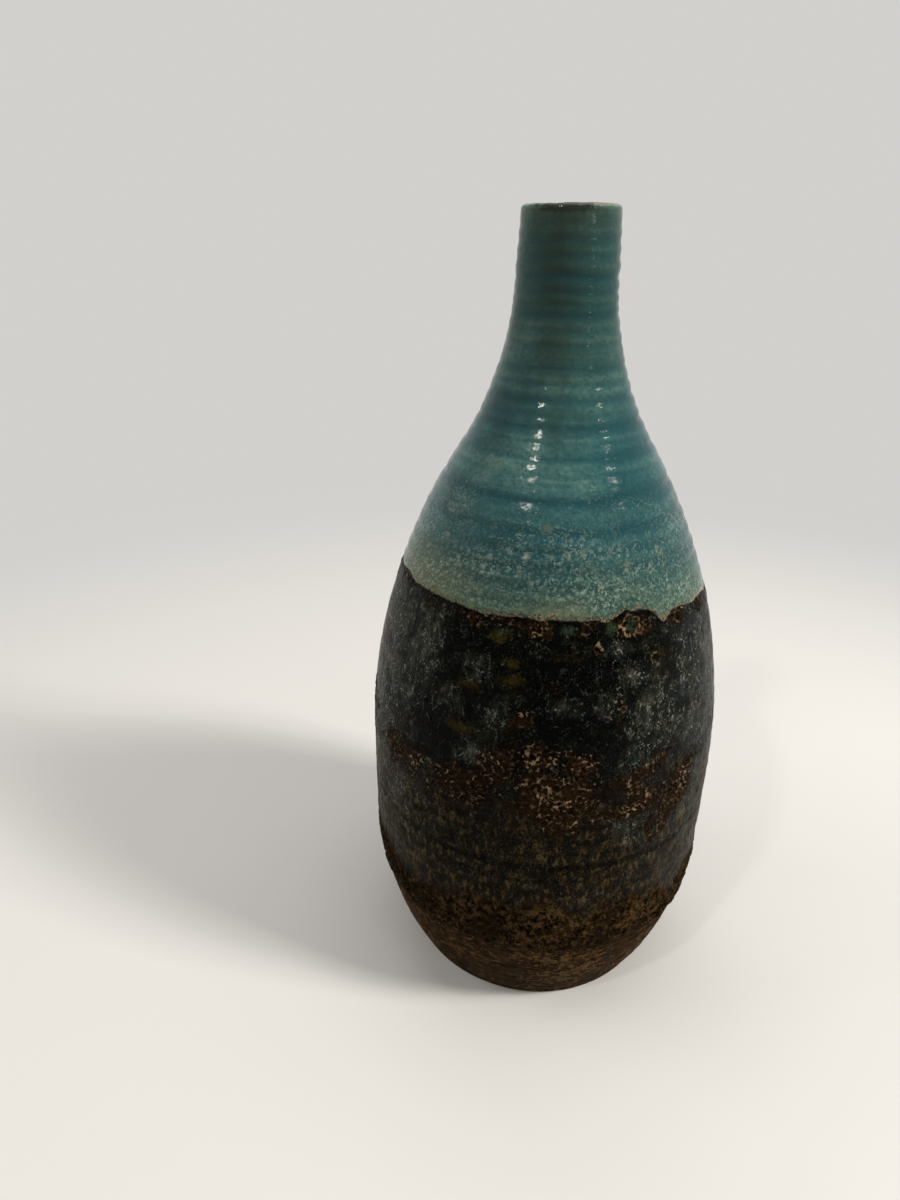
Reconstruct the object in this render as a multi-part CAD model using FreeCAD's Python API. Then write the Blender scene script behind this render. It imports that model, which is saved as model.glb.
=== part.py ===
import FreeCAD, Part
import math
import os

# Wheel-thrown stoneware bottle vase with poured and dipped glazes.
# Millimetres, +Z up, origin on the axis in the plane that the foot rests on.

# Driving sizes of the glazed outside, from the foot up
footRadius = 63.0
heelRise = 81.0
heelPower = 2.35
bellyRadius = 82.0
bellyRise = 35.0
shoulderRise = 143.5
neckRise = 69.0
neckRadius = 20.6
collarRise = 21.5
lipRadius = 19.2
lipRise = 2.6

# Clay wall, floor and turned foot
wall = 6.0
floorThickness = 9.0
floorCorner = 16.0
footRingWidth = 9.0
footHollow = 4.0
footHollowSlope = 3.0
footEdge = 2.5

# Glaze coats and how far each one reaches
coat = 1.0
innerCoat = 0.4
bareFoot = 40.0
crustRise = 44.0
crustProud = 0.7
turquoiseFall = 61.5
lapHeight = 14.0
boreRadius = 14.8

# Rings that the potter's fingers left, from ridge to ridge
neckRingPitch = 10.4
bellyRingPitch = 16.0
footRingPitch = 13.0
deepRingShares = (0.703, 0.776, 0.804, 0.927)
deepRingDepth = 0.4

# Bands of the clay under the coats and of the hollow, and the steps of the rounded edges
bedPitch = 16.0
neckBedPitch = 17.5
hollowPitch = 48.0
bandRise = 18.0
bandSlope = 0.2
lipSteps = 4
clayLipSteps = 3
edgeSteps = 2
cornerSteps = 3

# Heights that follow from the rises
bellyLow = heelRise
bellyTop = bellyLow + bellyRise
slopeTurn = bellyTop + shoulderRise
collarLow = slopeTurn + neckRise
height = collarLow + collarRise
lipSpring = height - lipRise
crustTop = bareFoot + crustRise
lapLow = slopeTurn - turquoiseFall
lapHigh = lapLow + lapHeight
floorTop = footHollow + floorThickness
cornerTop = floorTop + floorCorner

# Shoulder and neck are two arcs that meet on one slope: the first swells, the second is hollow
slopeLean = 2 * math.atan((bellyRadius - neckRadius) / (shoulderRise + neckRise))
shoulderArc = shoulderRise / math.sin(slopeLean)
neckArc = neckRise / math.sin(slopeLean)

# The straight bore ends where the neck, less coat and wall, grows wider than it
boreReach = min(neckArc, neckRadius + neckArc - boreRadius - wall - coat)
boreLow = collarLow - math.sqrt(neckArc ** 2 - boreReach ** 2)


# Radius of the glazed outside at a height
def outside(z):
    if z < bellyLow:
        return bellyRadius - (bellyRadius - footRadius) * ((bellyLow - z) / heelRise) ** heelPower
    if z < bellyTop:
        return bellyRadius
    if z < slopeTurn:
        return bellyRadius - shoulderArc + math.sqrt(shoulderArc ** 2 - (z - bellyTop) ** 2)
    if z < collarLow:
        return neckRadius + neckArc - math.sqrt(neckArc ** 2 - (collarLow - z) ** 2)
    return neckRadius + (lipRadius - neckRadius) * (z - collarLow) / collarRise


# The clay lies one coat in from the outside, and the hollow one wall further, no narrower than the bore
def clay(z):
    return outside(z) - coat


def hollow(z):
    return max(clay(z) - wall, boreRadius)


# Evenly spaced heights that fill a stretch at about one pitch
def marks(low, high, pitch):
    count = max(1, round(abs(high - low) / pitch))
    return [low + (high - low) * i / count for i in range(count + 1)]


def profile(radius, heights):
    return [(radius(z), z) for z in heights]


# A thrown wall is a stack of bands from ridge to ridge, and some of its rings are cut deeper
def fingerRings(low, high, pitch):
    rings = profile(outside, marks(low, high, pitch))
    for share in deepRingShares:
        z = share * height
        nearest = min(range(1, len(rings) - 1), key=lambda i: abs(rings[i][1] - z))
        rings[nearest] = (outside(z) - deepRingDepth, z)
    return rings


# Half an ellipse over the lip, from the outer side to the inner one
def lipCurve(outer, inner, rise, steps):
    middle, half = (outer + inner) / 2, (outer - inner) / 2
    angles = [math.pi * i / steps for i in range(1, steps)]
    return [(middle + half * math.cos(a), lipSpring + rise * math.sin(a)) for a in angles]


# Quarter circle that rounds a side into a level face, from the side inwards
def cornerCurve(side, level, reach, steps):
    angles = [math.pi / 2 * i / steps for i in range(1, steps + 1)]
    return [(side - reach * (1 - math.cos(a)), level + reach * (1 - math.sin(a))) for a in angles]


# One edge of an outline: a low, nearly upright band is a curve's span, which takes few facets
def edge(start, end):
    inwards, rise = abs(end.x - start.x), abs(end.z - start.z)
    if inwards == 0 or rise > bandRise or inwards > bandSlope * rise:
        return Part.LineSegment(start, end).toShape()
    span = Part.BezierCurve()
    span.setPoles([start, end])
    return span.toShape()


# Turns a closed outline of (radius, height) points about the axis
def turned(points):
    corners = [FreeCAD.Vector(r, 0, z) for r, z in points]
    edges = [edge(a, b) for a, b in zip(corners, corners[1:] + corners[:1])]
    face = Part.Face(Part.Wire(edges))
    return face.revolve(FreeCAD.Vector(0, 0, 0), FreeCAD.Vector(0, 0, 1), 360)


# Heights where coat and clay meet, shared by both so that they lie face to face
crustBed = marks(bareFoot, crustTop, bedPitch)
darkBed = [crustTop] + marks(bellyTop, lapLow, bedPitch) + [lapHigh]
neckBed = marks(slopeTurn, collarLow, neckBedPitch)
turquoiseBed = marks(lapHigh, slopeTurn, bedPitch) + neckBed[1:] + [lipSpring]


# Fired clay: turned foot ring, thrown wall and floor, open at the mouth
def stonewareBody():
    ringInner = clay(0) - footRingWidth
    under = [(0, footHollow), (ringInner - footHollowSlope, footHollow), (ringInner, 0)]
    rim = cornerCurve(clay(footEdge), 0, footEdge, edgeSteps)[::-1]
    foot = marks(footEdge, bareFoot, footRingPitch)
    outer = profile(clay, foot + crustBed[1:] + darkBed[1:] + turquoiseBed[1:])
    lip = lipCurve(clay(lipSpring), boreRadius, lipRise - coat, clayLipSteps)
    inside = marks(boreLow, bellyTop, hollowPitch) + marks(bellyLow, cornerTop, hollowPitch)
    inner = [(boreRadius, lipSpring)] + profile(hollow, inside)
    corner = cornerCurve(hollow(cornerTop), floorTop, floorCorner, cornerSteps)
    return turned(under + rim + outer + lip + inner + corner + [(0, floorTop)])


# Crusty band of crater glaze above the bare foot, which boiled up proud of the other coats
def crusted(z):
    return outside(z) + crustProud


def rustCrust():
    outer = profile(crusted, marks(bareFoot, crustTop, bellyRingPitch))
    return turned(outer + profile(clay, crustBed[::-1]))


# Dark coat from the crust up to the lap, where it thins out under the turquoise
def darkGlaze():
    outer = profile(outside, marks(crustTop, lapLow, bellyRingPitch))
    return turned(outer + profile(clay, darkBed[::-1]))


# Turquoise coat from the lap up, over the lip and down the straight bore
def turquoiseGlaze():
    outer = fingerRings(lapLow, lipSpring, neckRingPitch)
    glazed = boreRadius - innerCoat
    lip = lipCurve(outside(lipSpring), glazed, lipRise, lipSteps)
    inner = [(glazed, lipSpring), (glazed, boreLow), (boreRadius, boreLow), (boreRadius, lipSpring)]
    under = lipCurve(clay(lipSpring), boreRadius, lipRise - coat, clayLipSteps)[::-1]
    return turned(outer + lip + inner + under + profile(clay, turquoiseBed[::-1]))


pieces = {
    "stoneware_body": stonewareBody,
    "rust_crust": rustCrust,
    "dark_glaze": darkGlaze,
    "turquoise_glaze": turquoiseGlaze,
}

os.makedirs("parts", exist_ok=True)
for name, make in pieces.items():
    shape = make()
    shape.exportStep(f"parts/{name}.step")
    print(name, "valid", shape.isValid(), "volume", round(shape.Volume / 1000, 1), "cm3")
print("height", round(height, 2), "width", round(2 * crusted(crustTop), 2))
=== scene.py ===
import math

import bpy
import numpy as np
from mathutils import Matrix, Vector


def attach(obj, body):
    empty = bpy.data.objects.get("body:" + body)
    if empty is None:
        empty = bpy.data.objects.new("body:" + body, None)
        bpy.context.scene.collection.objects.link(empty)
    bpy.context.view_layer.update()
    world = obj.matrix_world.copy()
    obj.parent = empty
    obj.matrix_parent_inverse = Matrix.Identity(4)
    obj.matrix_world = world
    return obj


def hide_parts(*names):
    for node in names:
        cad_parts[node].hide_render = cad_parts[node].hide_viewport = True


# A wheel-thrown bottle vase: bare clay foot, crusty band, dark crater glaze and a turquoise coat.
# Lengths are millimetres from the foot up, until a mesh is made in metres.
# Front is -Y, and angles are degrees to the right of it, seen from the front.

mm = 0.001
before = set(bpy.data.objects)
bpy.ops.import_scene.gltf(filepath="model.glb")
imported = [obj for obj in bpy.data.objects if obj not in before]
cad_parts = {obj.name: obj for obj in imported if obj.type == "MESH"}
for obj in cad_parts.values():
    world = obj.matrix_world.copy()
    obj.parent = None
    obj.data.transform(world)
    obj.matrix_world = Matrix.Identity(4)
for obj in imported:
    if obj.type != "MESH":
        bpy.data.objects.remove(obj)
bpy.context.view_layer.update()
print("frame loaded:", ", ".join(sorted(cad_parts)))


# The turned form

vase = {
    "footRadius": 63.0, "heelRise": 81.0, "heelPower": 2.35,
    "bellyRadius": 82.0, "bellyRise": 35.0, "shoulderRise": 143.5,
    "neckRise": 69.0, "neckRadius": 20.6, "collarRise": 21.5,
    "lipRadius": 19.2, "lipRise": 2.6,
    "coat": 1.0, "wall": 6.0, "boreRadius": 14.8, "boreGlaze": 0.4,
    "floorTop": 13.0, "floorCorner": 16.0,
    "footHollow": 4.0, "footEdge": 2.5, "footRingWidth": 9.0, "footHollowSlope": 3.0,
    "crustProud": 0.7,
}
bellyLow = vase["heelRise"]
bellyTop = bellyLow + vase["bellyRise"]
slopeTurn = bellyTop + vase["shoulderRise"]
collarLow = slopeTurn + vase["neckRise"]
vaseHeight = collarLow + vase["collarRise"]
lipSpring = vaseHeight - vase["lipRise"]
clayLipRise = vase["lipRise"] - vase["coat"]
lean = 2 * math.atan((vase["bellyRadius"] - vase["neckRadius"]) / (vase["shoulderRise"] + vase["neckRise"]))
shoulderArc = vase["shoulderRise"] / math.sin(lean)
neckArc = vase["neckRise"] / math.sin(lean)
boreReach = vase["neckRadius"] + neckArc - vase["boreRadius"] - vase["wall"] - vase["coat"]
boreLow = collarLow - math.sqrt(neckArc ** 2 - boreReach ** 2)


def outside(z):
    # power curve at the heel, upright belly, swelling shoulder arc, hollow neck arc, tapering collar
    heel = np.clip((bellyLow - z) / vase["heelRise"], 0, 1) ** vase["heelPower"]
    heel = vase["bellyRadius"] - (vase["bellyRadius"] - vase["footRadius"]) * heel
    swell = np.clip(z - bellyTop, 0, vase["shoulderRise"])
    shoulder = vase["bellyRadius"] - shoulderArc + np.sqrt(shoulderArc ** 2 - swell ** 2)
    hollow = np.clip(collarLow - z, 0, vase["neckRise"])
    neck = vase["neckRadius"] + neckArc - np.sqrt(neckArc ** 2 - hollow ** 2)
    taper = (vase["lipRadius"] - vase["neckRadius"]) * (z - collarLow) / vase["collarRise"]
    collar = vase["neckRadius"] + taper
    return np.select([z < bellyLow, z < slopeTurn, z < collarLow], [heel, shoulder, neck], collar)


def clayFace(z):
    # the clay lies one coat in from the glazed outside
    return outside(z) - vase["coat"]


def smoothStep(low, high, x):
    # 0 below low, 1 above high, an S curve between them
    t = np.clip((x - low) / (high - low), 0, 1)
    return t * t * (3 - 2 * t)


def bell(x, middle, width):
    return np.exp(-((x - middle) / width) ** 2)


def turnGap(angle, middle):
    # shortest way round from one angle to another, in degrees
    return (angle - middle + 180) % 360 - 180


# Repeatable scatter and noise on whole arrays

def scatter(cell, seed):
    # mixes the three whole numbers of a cell into one value from 0 to 1; the long numbers only stir the bits
    c = cell.astype(np.int64).astype(np.uint64)
    n = c[..., 0] * np.uint64(73856093) ^ c[..., 1] * np.uint64(19349663)
    n = n ^ c[..., 2] * np.uint64(83492791) ^ np.uint64((seed + 1) * 2654435761)
    n = (n ^ (n >> np.uint64(15))) * np.uint64(2246822519)
    n = (n ^ (n >> np.uint64(13))) * np.uint64(3266489917)
    return ((n >> np.uint64(16)) & np.uint64(65535)) / 65535.0


def softNoise(points, size, seed):
    # random values at the corners of cubes of one size, blended with S curves, from -1 to 1
    scaled = points / size
    cell = np.floor(scaled)
    part = scaled - cell
    ease = part * part * (3 - 2 * part)
    total = np.zeros(cell.shape[:-1])
    for corner in np.ndindex(2, 2, 2):
        weight = np.prod(np.where(np.array(corner) == 1, ease, 1 - ease), axis=-1)
        total += weight * scatter(cell + np.array(corner), seed)
    return 2 * total - 1


def layeredNoise(points, size, layers, seed):
    # each layer is half the size and half the strength of the one before
    total = np.zeros(points.shape[:-1])
    for layer in range(layers):
        total += softNoise(points, size / 2 ** layer, seed + 7 * layer) / 2 ** layer
    return total


def nearestDot(points, size, seed):
    # one scattered dot per cube: distance to the nearest one, and that dot's own random value
    scaled = points / size
    cell = np.floor(scaled)
    nearest = np.full(cell.shape[:-1], 9.0)
    value = np.zeros(cell.shape[:-1])
    for step in np.ndindex(3, 3, 3):
        other = cell + np.array(step) - 1
        dot = other + np.stack([scatter(other, seed + k) for k in range(3)], axis=-1)
        gap = np.linalg.norm(scaled - dot, axis=-1)
        nearer = gap < nearest
        nearest = np.where(nearer, gap, nearest)
        value = np.where(nearer, scatter(other, seed + 3), value)
    return nearest * size, value


def anglesOf(part):
    # one angle for each column of a piece's grid
    return 360 * np.arange(part["columns"]) / part["columns"]


def onSurface(angle, z):
    # points of the turned form for arrays of angle and height
    turn = np.radians(angle)
    radius = outside(z)
    return np.stack([radius * np.sin(turn), -radius * np.cos(turn), z], axis=-1)


def spots(angle, z, places):
    # soft oval spots, each (angle, height, half width in degrees, half height, strength)
    cover = np.zeros(z.shape)
    for middle, level, wide, tall, strength in places:
        spot = strength * np.exp(-(turnGap(angle, middle) / wide) ** 2 - ((z - level) / tall) ** 2)
        cover = np.maximum(cover, spot)
    return cover


bubbles = {
    "craterRim": 0.55, "craterRimWidth": 0.28,  # shares of a crater's depth and radius
    "leastSize": 0.22, "moreSize": 0.2,  # radius of froth bowls as shares of their spacing
    "rarity": 0.75, "fadeIn": 0.25, "rimAt": 1.15, "rimWidth": 0.35,
}


def craters(angle, z, places):
    # open bubbles, each (angle, height, radius, depth): a bowl inside a raised rim
    relief = np.zeros(z.shape)
    bowl = np.zeros(z.shape)
    rim = np.zeros(z.shape)
    radius = outside(z)
    for middle, level, size, depth in places:
        gap = np.hypot(np.radians(turnGap(angle, middle)) * radius, z - level) / size
        inside = np.clip(1 - gap ** 2, 0, 1)
        edge = bell(gap, 1.0, bubbles["craterRimWidth"])
        relief += depth * (bubbles["craterRim"] * edge - inside)
        bowl = np.maximum(bowl, inside)
        rim = np.maximum(rim, edge)
    return relief, bowl, rim


def froth(points, size, seed, cover):
    # burst bubbles over a covered area: bowls with rims at scattered dots, none where cover is low
    gap, value = nearestDot(points, size, seed)
    here = smoothStep(0.0, bubbles["fadeIn"], cover - bubbles["rarity"] * value)
    ratio = gap / (size * (bubbles["leastSize"] + bubbles["moreSize"] * value))
    bowl = np.clip(1 - ratio ** 2, 0, 1) * here
    rim = bell(ratio, bubbles["rimAt"], bubbles["rimWidth"]) * here
    return bowl, rim


# Meshes

def addObject(name, data):
    made = bpy.data.objects.new(name, data)
    bpy.context.scene.collection.objects.link(made)
    return made


def turnedMesh(name, radius, height, values, poles=None):
    # One row per outline point and one column per angle: x = r sin a, y = -r cos a, z = height.
    # Columns join all round. Rows join in a loop too, or end at two poles on the axis.
    # Values become attributes, and one that is given for the first rows only is 0 on the rest.
    rows, columns = radius.shape
    turn = 2 * np.pi * np.arange(columns) / columns
    points = np.stack([radius * np.sin(turn), -radius * np.cos(turn), height], axis=-1).reshape(-1, 3)
    grid = np.arange(rows * columns).reshape(rows, columns)
    beside = np.roll(grid, -1, axis=1)
    above, across = np.roll(grid, -1, axis=0), np.roll(beside, -1, axis=0)
    faces = np.stack([grid, beside, across, above], axis=-1)
    faces = (faces[:-1] if poles else faces).reshape(-1, 4).tolist()
    if poles:
        first, last = np.full(columns, len(points)), np.full(columns, len(points) + 1)
        points = np.vstack([points, [[0, 0, poles[0]], [0, 0, poles[1]]]])
        faces += np.stack([first, beside[0], grid[0]], axis=-1).tolist()
        faces += np.stack([grid[-1], beside[-1], last], axis=-1).tolist()
    mesh = bpy.data.meshes.new(name)
    mesh.from_pydata((points * mm).tolist(), [], faces)
    mesh.polygons.foreach_set("use_smooth", [True] * len(faces))
    for label, value in values.items():
        layer = mesh.attributes.new(label, "FLOAT", "POINT")
        numbers = np.zeros(len(points))
        numbers[:value.size] = value.ravel()
        layer.data.foreach_set("value", numbers)
    mesh.update()
    print(f"{name}: {rows} rows, {columns} columns, {len(faces)} faces")
    return addObject(name, mesh)


def lipCurve(outer, inner, rise, turn, power=1):
    # half an ellipse over the lip, from the outer side to the inner one; a power under 1 makes it fuller
    radius = (outer + inner) / 2 + (outer - inner) / 2 * np.cos(turn)
    return radius, lipSpring + rise * np.sin(turn) ** power


def stacked(blocks, columns):
    # rows of an outline: each block is (radius, height), plain lists or whole arrays of columns
    def rows(value):
        return np.broadcast_to(np.asarray(value, float).reshape(len(value), -1), (len(value), columns))
    return [np.vstack([rows(value) for value in part]) for part in zip(*blocks)]


# Shader building

def tone(red, green, blue):
    # a colour as a screen shows it, 0 to 255, turned into the linear numbers that shaders take
    shares = [channel / 255 for channel in (red, green, blue)]
    return tuple(s / 12.92 if s <= 0.04045 else ((s + 0.055) / 1.055) ** 2.4 for s in shares) + (1.0,)


def tonesOf(*parts):
    # the colours among a piece's settings, which are its only values in round brackets
    settings = [setting for part in parts for setting in part.items()]
    return {label: tone(*value) for label, value in settings if isinstance(value, tuple)}


class Wire:
    # one output socket; sums, differences, products and abs() with it add Math nodes
    def __init__(self, graph, socket):
        self.graph, self.socket = graph, socket

    def maths(self, operation, first, second):
        return self.graph.node("ShaderNodeMath", {"operation": operation}, {0: first, 1: second})

    def __add__(self, other):
        return self.maths("ADD", self, other)

    def __sub__(self, other):
        return self.maths("SUBTRACT", self, other)

    def __rsub__(self, other):
        return self.maths("SUBTRACT", other, self)

    def __mul__(self, other):
        return self.maths("MULTIPLY", self, other)

    def __abs__(self):
        return self.graph.node("ShaderNodeMath", {"operation": "ABSOLUTE"}, {0: self})


class Graph:
    # a node tree, with one method for any node
    def __init__(self, tree):
        self.tree = tree

    def node(self, kind, settings, sockets, out=0):
        made = self.tree.nodes.new(kind)
        for label, setting in settings.items():
            setattr(made, label, setting)
        for label, value in sockets.items():
            if isinstance(value, Wire):
                self.tree.links.new(value.socket, made.inputs[label])
            else:
                made.inputs[label].default_value = value
        return Wire(self, made.outputs[out])

    def larger(self, first, second):
        return self.node("ShaderNodeMath", {"operation": "MAXIMUM"}, {0: first, 1: second})

    def seen(self):
        # 1 for rays from the camera and for those that glossy and clear surfaces send on
        path = self.node("ShaderNodeLightPath", {}, {}, "Is Camera Ray")
        for other in ("Is Glossy Ray", "Is Transmission Ray"):
            path = self.larger(path, self.node("ShaderNodeLightPath", {}, {}, other))
        return path


class Paint(Graph):
    # a material, with short methods for what the glazes share
    def __init__(self, name, *parts, ground=None):
        self.tones, self.colour = tonesOf(*parts), ground
        self.material = bpy.data.materials.new(name)
        self.material.use_nodes = True
        super().__init__(self.material.node_tree)
        self.shader = self.tree.nodes["Principled BSDF"]
        self.place = self.node("ShaderNodeTexCoord", {}, {}, "Object")

    def axis(self, letter):
        return self.node("ShaderNodeSeparateXYZ", {}, {0: self.place}, letter)

    def shifted(self, seed, stretch=(1, 1, 1)):
        # the object's own coordinates, moved so that each seed shows another part of the pattern
        sockets = {"Vector": self.place, "Scale": stretch, "Location": (seed, seed, seed)}
        return self.node("ShaderNodeMapping", {}, sockets)

    def noise(self, scale, detail=2.0, stretch=(1, 1, 1), seed=0.0, warp=0.0, rough=0.5):
        # scales of noise and cells are repeats in a metre
        sockets = {"Vector": self.shifted(seed, stretch), "Scale": scale, "Detail": detail,
                   "Roughness": rough, "Distortion": warp}
        return self.node("ShaderNodeTexNoise", {}, sockets)

    def cells(self, scale, wobble=0.0, seed=0.0):
        # distance to the nearest of many scattered dots, and wobble makes their outlines uneven
        place = self.shifted(seed)
        if wobble:
            sockets = {"Vector": place, "Scale": scale * 0.7, "Detail": 2.0}
            cloud = self.node("ShaderNodeTexNoise", {}, sockets, "Color")
            sockets = {0: cloud, "Scale": wobble / scale}
            shift = self.node("ShaderNodeVectorMath", {"operation": "SCALE"}, sockets)
            place = self.node("ShaderNodeVectorMath", {"operation": "ADD"}, {0: place, 1: shift})
        return self.node("ShaderNodeTexVoronoi", {}, {"Vector": place, "Scale": scale}, "Distance")

    def attribute(self, name):
        return self.node("ShaderNodeAttribute", {"attribute_name": name}, {}, "Fac")

    def step(self, value, low, high):
        # 0 below low, 1 above high, an S curve between them
        return self.node("ShaderNodeMapRange", {"interpolation_type": "SMOOTHSTEP"},
                         {"Value": value, "From Min": low, "From Max": high})

    def mix(self, share, first, second):
        # blends two tones, given by name or as a colour or a socket
        first, second = (self.tones[one] if isinstance(one, str) else one for one in (first, second))
        return self.node("ShaderNodeMix", {"data_type": "RGBA"}, {0: share, 6: first, 7: second}, 2)

    def lay(self, share, over):
        # one more tone over the colour so far
        self.colour = self.mix(share, self.colour, over)

    def finish(self, roughness, relief, settings):
        # bumpDepth is in millimetres, bumpShare how much of it shows, shine the specular level
        self.shader.inputs["Specular IOR Level"].default_value = settings["shine"]
        sockets = {"Height": relief, "Distance": settings["bumpDepth"] * mm}
        sockets["Strength"] = settings["bumpShare"]
        bump = self.node("ShaderNodeBump", {}, sockets, "Normal")
        for label, value in {"Base Color": self.colour, "Roughness": roughness, "Normal": bump}.items():
            self.tree.links.new(value.socket, self.shader.inputs[label])
        return self.material


# Clay body

clay = {
    "columns": 384, "bareTop": 51.0, "bareRows": 100, "wallRows": 40, "innerRows": 54,
    "underRows": 30, "edgeRows": 6, "lipRows": 6, "cornerRows": 8, "floorRows": 8,
    # turning marks: how far they drift, spacing and depth of wide and fine ones, depth of grit and lumps
    "markDrift": 0.9, "wideSpacing": 5.2, "wideDepth": 0.15, "fineSpacing": 1.9, "fineDepth": 0.06,
    "gritDepth": 0.12, "lumpDepth": 0.12, "marksFrom": 6.0,
    # ripples under the foot, innermost ring of the underside and of the floor
    "underSpacing": 4.6, "underDepth": 0.12, "underStart": 0.8, "floorStart": 1.0,
    "bumpDepth": 1.3, "bumpShare": 1.0, "shine": 0.03,
    "pale": (134, 104, 66), "mid": (66, 45, 18), "dark": (32, 21, 7), "ash": (98, 90, 66), "pitShade": (8, 5, 1),
}


def turningMarks(angle, z):
    # rings of the turning tool: wide and fine waves that drift a little round the pot, with grit and lumps
    points = onSurface(angle, z)
    drift = clay["markDrift"] * softNoise(points, 40, 3)
    wide = np.sin(2 * np.pi * (z + drift) / clay["wideSpacing"]) * (0.6 + 0.4 * softNoise(points, 25, 4))
    fine = np.sin(2 * np.pi * (z + 0.5 * drift) / clay["fineSpacing"])
    grit = layeredNoise(points, 2.2, 2, 5)
    lump = layeredNoise(points, 6.0, 2, 6)
    waves = clay["wideDepth"] * wide + clay["fineDepth"] * fine
    return waves + clay["gritDepth"] * grit + clay["lumpDepth"] * lump


def clayBody():
    # one outline from the foot's middle over foot ring, wall and lip, down the bore and to the floor's middle
    angle = anglesOf(clay)
    ringIn = clayFace(0.0) - vase["footRingWidth"]
    hollowEdge = ringIn - vase["footHollowSlope"]
    underR = np.linspace(clay["underStart"], hollowEdge, clay["underRows"])
    ripples = clay["underDepth"] * np.sin(2 * np.pi * underR / clay["underSpacing"])
    underZ = vase["footHollow"] - ripples * smoothStep(0, clay["marksFrom"], underR)
    rimTurn = np.linspace(0, math.pi / 2, clay["edgeRows"])
    rimR = clayFace(vase["footEdge"]) - vase["footEdge"] * (1 - np.sin(rimTurn))
    rimZ = vase["footEdge"] * (1 - np.cos(rimTurn))
    bareZ = np.linspace(vase["footEdge"], clay["bareTop"], clay["bareRows"])[1:, None] + 0 * angle
    marked = smoothStep(vase["footEdge"], clay["marksFrom"], bareZ)
    bareR = clayFace(bareZ) + turningMarks(angle, bareZ) * marked
    wallZ = np.linspace(clay["bareTop"], lipSpring, clay["wallRows"])[1:]
    wallR = clayFace(wallZ)
    lipTurn = np.linspace(0, math.pi, clay["lipRows"] + 2)[1:-1]
    lipR, lipZ = lipCurve(clayFace(lipSpring), vase["boreRadius"], clayLipRise, lipTurn)
    innerLow = vase["floorTop"] + vase["floorCorner"]
    innerZ = np.concatenate([[lipSpring], np.linspace(boreLow, innerLow, clay["innerRows"])])
    innerR = np.maximum(clayFace(innerZ) - vase["wall"], vase["boreRadius"])
    cornerTurn = np.linspace(0, math.pi / 2, clay["cornerRows"])[1:]
    cornerR = innerR[-1] - vase["floorCorner"] * (1 - np.cos(cornerTurn))
    cornerZ = vase["floorTop"] + vase["floorCorner"] * (1 - np.sin(cornerTurn))
    floorR = np.linspace(cornerR[-1], clay["floorStart"], clay["floorRows"])[1:]
    floorZ = np.full(len(floorR), vase["floorTop"])
    blocks = [
        (underR, underZ), ([ringIn], [0.0]), (rimR, rimZ), (bareR, bareZ), (wallR, wallZ),
        (lipR, lipZ), (innerR, innerZ), (cornerR, cornerZ), (floorR, floorZ),
    ]
    radius, height = stacked(blocks, len(angle))
    ring = turningMarks(angle, height) * (radius > outside(height) - 2 * vase["coat"])
    return turnedMesh("clay_body", radius, height, {"ring": ring}, (vase["footHollow"], vase["floorTop"]))


def clayPaint():
    # dark ground with lighter turning streaks, pale crumbs, painted shade in the pits, ash and small specks
    paint = Paint("fired_clay", clay, ground="dark")
    lay, step, noise, attribute = paint.lay, paint.step, paint.noise, paint.attribute
    ring = step(attribute("ring"), -0.2, 0.2)
    streak = noise(70, 3, (1, 1, 7))
    blotch = noise(38, 3, seed=2)
    grain = noise(900, 2, seed=4)
    lay(step(streak * 0.8 + ring * 0.25, 0.3, 0.7), "mid")
    rough = noise(330, 9, (1, 1, 1.5), seed=9, rough=0.74)
    # painted shade in the low spots of the relief, weaker towards the bottom of the foot
    pitShadeShare = step(paint.axis("Z") + (blotch - 0.5) * 0.03, 0.018, 0.042)
    lay(step(rough + (blotch - 0.5) * 0.4, 0.51, 0.61) * 0.74, "pale")
    lay(step(1 - rough, 0.53, 0.6) * (pitShadeShare * 0.4 + 0.58), "pitShade")
    lay(step(noise(190, 5, seed=6), 0.55, 0.66) * 0.5, "ash")
    speck = step(paint.cells(420, seed=1), 0.16, 0.3)
    lay(1 - speck, "dark")
    roughness = noise(60, 2, seed=8) * 0.3 + 0.45
    relief = grain * 0.5 + streak * 0.4 + speck * 0.4 + rough * 1.6
    return paint.finish(roughness, relief, clay)


# Where the coats end

# each line: mean height, how far it strays, size of its bends, seed of its noise
glazeLine = {
    "level": 205.3, "ragged": 0.9, "size": 9.0, "seed": 11,
    # bays and drips: angle, half width in degrees, rise
    "bays": [
        (-66, 8, 1.2), (-2, 3, -0.7), (15.5, 2.2, 0.8), (19.6, 1.6, -0.9), (27, 2.6, 2.3), (32.5, 4, 1.7),
        (43.2, 3.6, -4.8), (60, 9, -3.4), (84, 16, -7), (122, 14, -2), (131, 3, -2.2), (158, 14, 0.8),
        (172, 3, -1.6), (188, 12, -2.4), (-150, 12, 0.9), (-131, 4, -2.6), (-112, 14, 1), (-90, 5, -1.4),
    ],
}
crustFoot = {"level": 46.0, "ragged": 2.8, "size": 9.0, "seed": 81, "bays": []}
crustTop = {
    "level": 72.0, "ragged": 4.5, "size": 12.0, "seed": 82,
    "bays": [(-44, 12, -9), (-6, 10, 3), (54, 12, -7), (120, 20, 6), (-150, 22, -7)],
}


def waveringLine(angle, line):
    # a level that wanders with coarse and fine noise round the pot and steps at its bays
    points = onSurface(angle, np.full(angle.shape, line["level"]))
    z = line["level"] + line["ragged"] * layeredNoise(points, line["size"], 3, line["seed"])
    z = z + 0.35 * line["ragged"] * layeredNoise(points, 2.4, 2, line["seed"] + 5)
    for middle, wide, rise in line["bays"]:
        z = z + rise * bell(turnGap(angle, middle), 0, wide)
    return z


# Turquoise coat

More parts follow.
